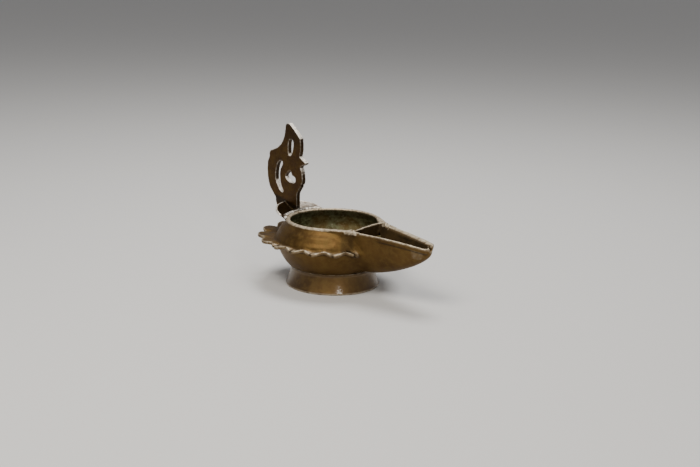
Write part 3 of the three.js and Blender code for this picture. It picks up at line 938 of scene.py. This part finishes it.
class Graph:
    """Adds the nodes of one material and joins them."""

    def __init__(self, name):
        self.material = bpy.data.materials.new(name)
        self.material.use_nodes = True
        self.tree = self.material.node_tree
        self.shader = self.tree.nodes["Principled BSDF"]
        self.place = self.add("ShaderNodeTexCoord").outputs["Object"]

    def add(self, kind, inputs=None, **settings):
        node = self.tree.nodes.new(kind)
        for key, value in settings.items():
            setattr(node, key, value)
        for key, value in (inputs or {}).items():
            self.feed(node.inputs[key], value)
        return node

    def feed(self, socket, value):
        """Joins an output to a socket, or sets the socket's own value."""
        if isinstance(value, bpy.types.NodeSocket):
            self.tree.links.new(value, socket)
        else:
            socket.default_value = value

    def noise(self, size, detail=4.0, rough=0.55, stretch=(1, 1, 1)):
        """Noise with features of a size in metres, from 0 to 1."""
        place = self.add("ShaderNodeMapping", {"Vector": self.place, "Scale": stretch}).outputs[0]
        made = self.add("ShaderNodeTexNoise", {"Vector": place, "Scale": 1 / size, "Detail": detail,
                                               "Roughness": rough})
        return made.outputs["Fac"]

    def ramp(self, value, low, high, start=0.0, end=1.0):
        """Value taken from low..high to start..end, softly and within its limits."""
        made = self.add("ShaderNodeMapRange", {
            "Value": value, "From Min": low, "From Max": high, "To Min": start, "To Max": end,
        }, interpolation_type="SMOOTHSTEP")
        return made.outputs["Result"]

    def sum(self, operation, a, b):
        return self.add("ShaderNodeMath", {0: a, 1: b}, operation=operation).outputs[0]

    def blend(self, share, a, b):
        made = self.add("ShaderNodeMix", {"Factor": share}, data_type="RGBA")
        self.feed(made.inputs[COLOUR_A], a)
        self.feed(made.inputs[COLOUR_B], b)
        return made.outputs[2]

    def attribute(self, name):
        return self.add("ShaderNodeAttribute", attribute_name=name).outputs["Fac"]

    def turning_lines(self):
        """Fine level lines left by the lathe, uneven and broken."""
        return self.noise(0.8 * MM, 2.0, 0.6, (0.03, 0.03, 1))


def colour(red, green, blue):
    return (red, green, blue, 1.0)


CRUST_DARK = colour(0.07, 0.06, 0.024)
CRUST_GREEN = colour(0.19, 0.205, 0.115)
CRUST_PALE = colour(0.5, 0.46, 0.33)
CRUST_AMBER = colour(0.16, 0.095, 0.028)
SOOT = colour(0.022, 0.014, 0.006)
SOOT_AMBER = colour(0.05, 0.03, 0.009)
# Near black for painted shade.
PAINTED_SHADE = colour(0.01, 0.007, 0.003)


def bronze(name, colours, sparkle, coat=0.0):
    """Old bronze: brown with golden patches, pale where abraded and where highlights are painted, crusted
    inside, and near black where shade is painted in its hollows.
    """
    dark, body, gold, pale = colours
    graph = Graph(name)
    patches = graph.noise(24 * MM, 4)
    mottling = graph.noise(5.5 * MM, 6, 0.62)
    spots = graph.noise(2.2 * MM, 5, 0.7)
    grain = graph.noise(0.9 * MM, 3, 0.6)
    wear_and_highlight = graph.attribute("wear_and_highlight")
    surface = graph.blend(graph.ramp(patches, 0.3, 0.62, 0.25, 1.0), dark, body)
    surface = graph.blend(graph.ramp(mottling, 0.38, 0.7, 0.0, 0.6), surface, gold)
    surface = graph.blend(graph.ramp(spots, 0.56, 0.72, 0.0, 0.35), surface, dark)
    # Pale colour where the casting is abraded and where highlights are painted, broken by spots.
    worn_and_highlit = graph.sum("MULTIPLY", wear_and_highlight, graph.ramp(spots, 0.3, 0.6, 0.55, 1.0))
    surface = graph.blend(worn_and_highlit, surface, pale)
    crust = graph.blend(graph.ramp(mottling, 0.38, 0.62), CRUST_DARK, CRUST_GREEN)
    crust = graph.blend(graph.ramp(spots, 0.55, 0.7, 0.0, 0.8), crust, CRUST_PALE)
    amber = graph.sum("MULTIPLY", graph.attribute("amber"), graph.ramp(patches, 0.35, 0.6, 0.2, 0.9))
    crust = graph.blend(graph.sum("MULTIPLY", amber, 0.7), crust, CRUST_AMBER)
    cover = graph.sum("MULTIPLY", graph.attribute("crust"), graph.ramp(wear_and_highlight, 0.0, 0.7, 1.0, 0.2))
    surface = graph.blend(cover, surface, crust)
    soot = graph.sum("MULTIPLY", graph.attribute("soot"), graph.ramp(mottling, 0.3, 0.7, 0.96, 0.75))
    surface = graph.blend(soot, surface, graph.blend(amber, SOOT, SOOT_AMBER))
    # Painted shade from the hollow attribute, broken by fine grain.
    painted_shade = graph.sum("MULTIPLY", graph.attribute("hollow"), graph.ramp(grain, 0.3, 0.7, 0.55, 0.95))
    surface = graph.blend(painted_shade, surface, PAINTED_SHADE)
    graph.feed(graph.shader.inputs["Base Color"], surface)
    dull = graph.sum("MAXIMUM", cover, soot)
    metal = graph.sum("SUBTRACT", graph.ramp(dull, 0, 1, 0.85, 0.1), graph.sum("MULTIPLY", worn_and_highlit, 0.5))
    graph.feed(graph.shader.inputs["Metallic"], graph.sum("MAXIMUM", metal, 0.0))
    rough = graph.ramp(mottling, 0.3, 0.75, 0.42, 0.58)
    rough = graph.sum("ADD", rough, graph.sum("MULTIPLY", dull, 0.25))
    graph.feed(graph.shader.inputs["Roughness"], rough)
    height = graph.sum("ADD", graph.sum("MULTIPLY", grain, sparkle), spots)
    height = graph.sum("ADD", height, graph.sum("MULTIPLY", graph.turning_lines(), 0.35))
    bump = graph.add("ShaderNodeBump", {"Strength": 0.55, "Distance": 0.22 * MM, "Height": height})
    graph.feed(graph.shader.inputs["Normal"], bump.outputs[0])
    graph.feed(graph.shader.inputs["Specular IOR Level"], graph.ramp(dull, 0, 1, 0.5, 0.12))
    glints = graph.add("ShaderNodeBump", {"Strength": 0.16, "Distance": 0.22 * MM, "Height": height})
    graph.feed(graph.shader.inputs["Coat Normal"], glints.outputs[0])
    graph.feed(graph.shader.inputs["Coat Weight"], coat)
    graph.feed(graph.shader.inputs["Coat Roughness"], 0.16)
    return graph.material


def place_piece(obj, name, node, material):
    obj.name = name
    obj.data.name = name
    obj.data.transform(Matrix.Translation((AXIS_X, 0, 0)))
    obj.data.materials.clear()
    obj.data.materials.append(material)
    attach(obj, "root")
    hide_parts(node)


def camera():
    data = bpy.data.cameras.new("camera")
    data.lens = CAMERA_LENS
    data.clip_start = 0.01
    data.clip_end = 100
    made = bpy.data.objects.new("camera", data)
    right = Vector((math.cos(CAMERA_AZIMUTH), math.sin(CAMERA_AZIMUTH), 0))
    back = Vector((math.sin(CAMERA_AZIMUTH) * math.cos(CAMERA_ELEVATION),
                   -math.cos(CAMERA_AZIMUTH) * math.cos(CAMERA_ELEVATION), math.sin(CAMERA_ELEVATION)))
    up = back.cross(right)
    rolled_right = right * math.cos(CAMERA_ROLL) + up * math.sin(CAMERA_ROLL)
    rolled_up = up * math.cos(CAMERA_ROLL) - right * math.sin(CAMERA_ROLL)
    turn = Matrix((rolled_right, rolled_up, back)).transposed()
    made.matrix_world = Matrix.Translation(CAMERA_AIM + back * CAMERA_DISTANCE) @ turn.to_4x4()
    bpy.context.scene.collection.objects.link(made)
    bpy.context.scene.camera = made


def area_light(name, azimuth, elevation, distance, size, power, tint):
    """A soft light aimed at the lamp; its azimuth is measured from the camera's, to the right."""
    data = bpy.data.lights.new(name, "AREA")
    data.size = size
    data.energy = power
    data.color = tint
    turn = CAMERA_AZIMUTH + math.radians(azimuth)
    rise = math.radians(elevation)
    direction = Vector((math.sin(turn) * math.cos(rise), -math.cos(turn) * math.cos(rise), math.sin(rise)))
    made = bpy.data.objects.new(name, data)
    made.location = Vector((0, 0, RIM_HEIGHT)) + direction * distance
    made.rotation_euler = direction.to_track_quat("Z", "Y").to_euler()
    bpy.context.scene.collection.objects.link(made)


def lighting():
    area_light("key", azimuth=-28, elevation=52, distance=1.2, size=0.5, power=11, tint=(1, 0.96, 0.9))
    area_light("front", azimuth=17, elevation=24, distance=1.4, size=0.12, power=3.6, tint=(1, 0.95, 0.88))
    area_light("top", azimuth=170, elevation=72, distance=1.1, size=0.5, power=10, tint=(1, 1, 1))
    world = bpy.data.worlds.new("studio")
    world.use_nodes = True
    world.node_tree.nodes["Background"].inputs["Color"].default_value = colour(0.8, 0.8, 0.82)
    world.node_tree.nodes["Background"].inputs["Strength"].default_value = 0.36
    bpy.context.scene.world = world


def floor():
    half = 12
    points = [(-half, -half, 0), (half, -half, 0), (half, half, 0), (-half, half, 0)]
    mesh = bpy.data.meshes.new("floor")
    mesh.from_pydata(points, [], [(0, 1, 2, 3)])
    made = bpy.data.objects.new("floor", mesh)
    graph = Graph("pale_floor")
    graph.shader.inputs["Base Color"].default_value = colour(0.62, 0.61, 0.59)
    graph.shader.inputs["Roughness"].default_value = 0.9
    mesh.materials.append(graph.material)
    bpy.context.scene.collection.objects.link(made)


camera()
lighting()
floor()

# The last colour of each set is the pale one, for abraded places and painted highlights; the thumb-rest's is
# near white for the painted highlights on its plate's edges.
BRONZE = [colour(0.062, 0.031, 0.007), colour(0.105, 0.056, 0.0135), colour(0.15, 0.092, 0.025),
          colour(0.5, 0.42, 0.3)]
DARK_BRONZE = [colour(0.036, 0.016, 0.003), colour(0.06, 0.027, 0.005), colour(0.1, 0.055, 0.009),
               colour(0.9, 0.84, 0.74)]

bronze_material = bronze("bronze_surface", BRONZE, sparkle=0.6)
dark_material = bronze("dark_bronze_surface", DARK_BRONZE, sparkle=0.5)
foot_material = bronze("foot_bronze_surface", BRONZE, sparkle=0.9, coat=0.6)

bowl = bowl_casting()
finish_surface(bowl, BOWL_VOXEL, BOWL_UNEVENNESS, 1.0, worn_and_highlit_bowl, shaded_bowl, rough_bowl,
               relief=bowl_relief, join=at_join)
place_piece(bowl, "bowl_bronze", "bowl", bronze_material)

foot = foot_casting()
finish_surface(foot, FOOT_VOXEL, FOOT_UNEVENNESS, 2.0, worn_foot, shaded_foot, rough_foot)
place_piece(foot, "foot_bronze", "foot", foot_material)

thumb_rest = thumb_rest_casting()
finish_surface(thumb_rest, THUMB_REST_VOXEL, THUMB_REST_UNEVENNESS, 3.0, worn_and_highlit_thumb_rest, shaded_thumb_rest,
               rough_thumb_rest, join=at_saddle)
place_piece(thumb_rest, "thumb_rest_bronze", "thumb_rest", dark_material)

for made in (bowl, foot, thumb_rest):
    triangles = sum(len(face.vertices) - 2 for face in made.data.polygons)
    print(made.name, len(made.data.vertices), "points", triangles, "triangles")
